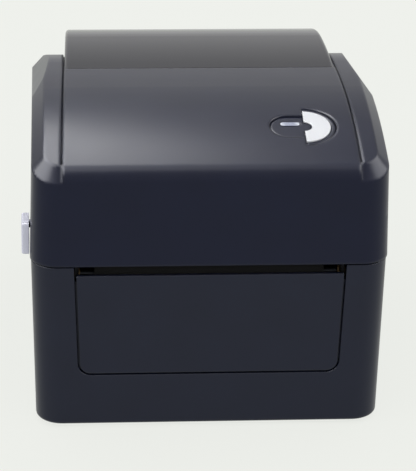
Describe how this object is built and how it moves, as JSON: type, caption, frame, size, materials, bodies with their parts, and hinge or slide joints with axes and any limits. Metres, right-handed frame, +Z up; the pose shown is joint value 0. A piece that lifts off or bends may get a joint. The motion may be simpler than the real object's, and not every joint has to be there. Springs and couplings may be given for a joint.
{
  "type": "thermal label printer",
  "caption": "Desktop label printer with a hinged lid, platen and gear drive, floating print head, self-centring roll holders and guides, side release tab and feed button.",
  "frame": {"origin": "floor under the middle of the outline, seen from above", "axes": "+Z up, -Y to the front where the labels come out, +X to the printer's right seen from the front"},
  "size_m": [0.182, 0.215, 0.1549],
  "materials": {
    "case_plastic": "satin",
    "window_plastic": "smoky gloss",
    "inner_plastic": "matt",
    "button_white": "satin white",
    "tab_grey": "satin pale grey",
    "lens_clear": "frosted light guide",
    "gear_plastic": "natural acetal",
    "steel": "bright",
    "zinc_sheet": "zinc plated",
    "black_steel": "black oxide",
    "alloy": "extruded",
    "bronze": "sintered bronze",
    "platen_rubber": "ground",
    "foot_rubber": "matt",
    "ceramic": "glazed ceramic",
    "circuit_board": "solder mask"
  },
  "bodies": {
    "base": {"base_housing": "case_plastic", "front_panel": "case_plastic", "rubber_feet": "foot_rubber", "side_frame_left": "black_steel", "side_frame_right": "black_steel", "frame_screws": "steel", "latch_posts": "black_steel", "platen_bushes": "bronze", "drive_motor": "zinc_sheet", "motor_screws": "steel", "reduction_pin": "steel", "media_tray": "inner_plastic", "tray_screws": "steel", "holder_rack_cover": "inner_plastic", "guide_rack_cover": "inner_plastic", "main_board": "circuit_board", "board_screws": "steel", "usb_socket": "zinc_sheet", "power_socket": "inner_plastic", "switch_housing": "inner_plastic", "hinge_pins": "steel"},
    "platen": {"platen_shaft": "black_steel", "platen_roller": "platen_rubber", "platen_gear": "gear_plastic"},
    "reduction": {"reduction_gear": "gear_plastic"},
    "motor_rotor": {"motor_shaft": "steel", "motor_pinion": "bronze"},
    "holder_left": {"roll_holder_left": "inner_plastic", "holder_rack_left": "gear_plastic"},
    "holder_right": {"roll_holder_right": "inner_plastic", "holder_rack_right": "gear_plastic"},
    "holder_gear": {"holder_pinion": "gear_plastic"},
    "guide_left": {"label_guide_left": "inner_plastic", "guide_rack_left": "gear_plastic"},
    "guide_right": {"label_guide_right": "inner_plastic", "guide_rack_right": "gear_plastic"},
    "guide_gear": {"guide_pinion": "gear_plastic"},
    "sensor": {"media_sensor": "inner_plastic"},
    "rocker": {"power_rocker": "inner_plastic"},
    "lid": {"top_cover": "case_plastic", "roll_window": "window_plastic", "button_bezel": "case_plastic", "status_lens": "lens_clear", "button_board": "circuit_board", "lid_inner_frame": "inner_plastic", "lid_screws": "steel", "head_bracket": "zinc_sheet", "head_pivot_pin": "steel", "head_springs": "steel", "latch_spring": "steel", "tear_bar": "black_steel"},
    "head": {"print_head": "ceramic", "head_heat_sink": "alloy"},
    "latch": {"latch_shaft": "black_steel", "latch_hook_left": "inner_plastic", "latch_hook_right": "inner_plastic", "release_tab": "tab_grey"},
    "button": {"feed_button": "button_white"}
  },
  "joints": [
    {"name": "lid_hinge", "type": "hinge", "parent": "base", "child": "lid", "pos_m": [0.002, 0.104, 0.0897], "axis": [-1, 0, 0], "range_deg": [0, 88]},
    {"name": "latch_pull", "type": "hinge", "parent": "lid", "child": "latch", "pos_m": [0.002, -0.0857, 0.1042], "axis": [-1, 0, 0], "range_deg": [0, 14], "stiffness_Nm_per_rad": 0.25, "springref_deg": -6.88},
    {"name": "feed_press", "type": "slide", "parent": "lid", "child": "button", "axis": [0, 0.2086, -0.978], "range_m": [0, 0.0007], "stiffness_N_per_m": 900, "springref_m": -0.0006},
    {"name": "head_float", "type": "hinge", "parent": "lid", "child": "head", "pos_m": [0.002, -0.0755, 0.093], "axis": [-1, 0, 0], "range_deg": [0, 3], "stiffness_Nm_per_rad": 6, "springref_deg": -2.86, "deforming": ["head_springs"]},
    {"name": "platen_spin", "type": "hinge", "parent": "base", "child": "platen", "pos_m": [0.002, -0.091, 0.079], "axis": [1, 0, 0], "continuous": true},
    {"name": "reduction_spin", "type": "hinge", "parent": "base", "child": "reduction", "pos_m": [0.002, -0.0858, 0.06472], "axis": [1, 0, 0], "continuous": true},
    {"name": "motor_spin", "type": "hinge", "parent": "base", "child": "motor_rotor", "pos_m": [0.002, -0.0754, 0.0467], "axis": [1, 0, 0], "continuous": true},
    {"name": "holder_left_slide", "type": "slide", "parent": "base", "child": "holder_left", "axis": [1, 0, 0], "range_m": [0, 0.036]},
    {"name": "holder_right_slide", "type": "slide", "parent": "base", "child": "holder_right", "axis": [1, 0, 0], "range_m": [-0.036, 0]},
    {"name": "holder_pinion_spin", "type": "hinge", "parent": "base", "child": "holder_gear", "pos_m": [0.002, 0.028, 0], "axis": [0, 0, 1], "range_deg": [0, 258]},
    {"name": "guide_left_slide", "type": "slide", "parent": "base", "child": "guide_left", "axis": [1, 0, 0], "range_m": [0, 0.038]},
    {"name": "guide_right_slide", "type": "slide", "parent": "base", "child": "guide_right", "axis": [1, 0, 0], "range_m": [-0.038, 0]},
    {"name": "guide_pinion_spin", "type": "hinge", "parent": "base", "child": "guide_gear", "pos_m": [0.002, -0.0453, 0], "axis": [0, 0, 1], "range_deg": [0, 272.5]},
    {"name": "sensor_slide", "type": "slide", "parent": "base", "child": "sensor", "axis": [1, 0, 0], "range_m": [-0.036, 0.036]},
    {"name": "rocker_tilt", "type": "hinge", "parent": "base", "child": "rocker", "pos_m": [-0.046, 0.1035, 0.03], "axis": [0, 0, 1], "range_deg": [0, 16]}
  ],
  "couplings": [
    {"joint": "reduction_spin", "follows": "platen_spin", "ratio": -1.7143},
    {"joint": "motor_spin", "follows": "platen_spin", "ratio": 5.7143},
    {"joint": "holder_right_slide", "follows": "holder_left_slide", "ratio": -1},
    {"joint": "holder_pinion_spin", "follows": "holder_left_slide", "rad_per_m": 125},
    {"joint": "guide_right_slide", "follows": "guide_left_slide", "ratio": -1},
    {"joint": "guide_pinion_spin", "follows": "guide_left_slide", "rad_per_m": 125}
  ]
}
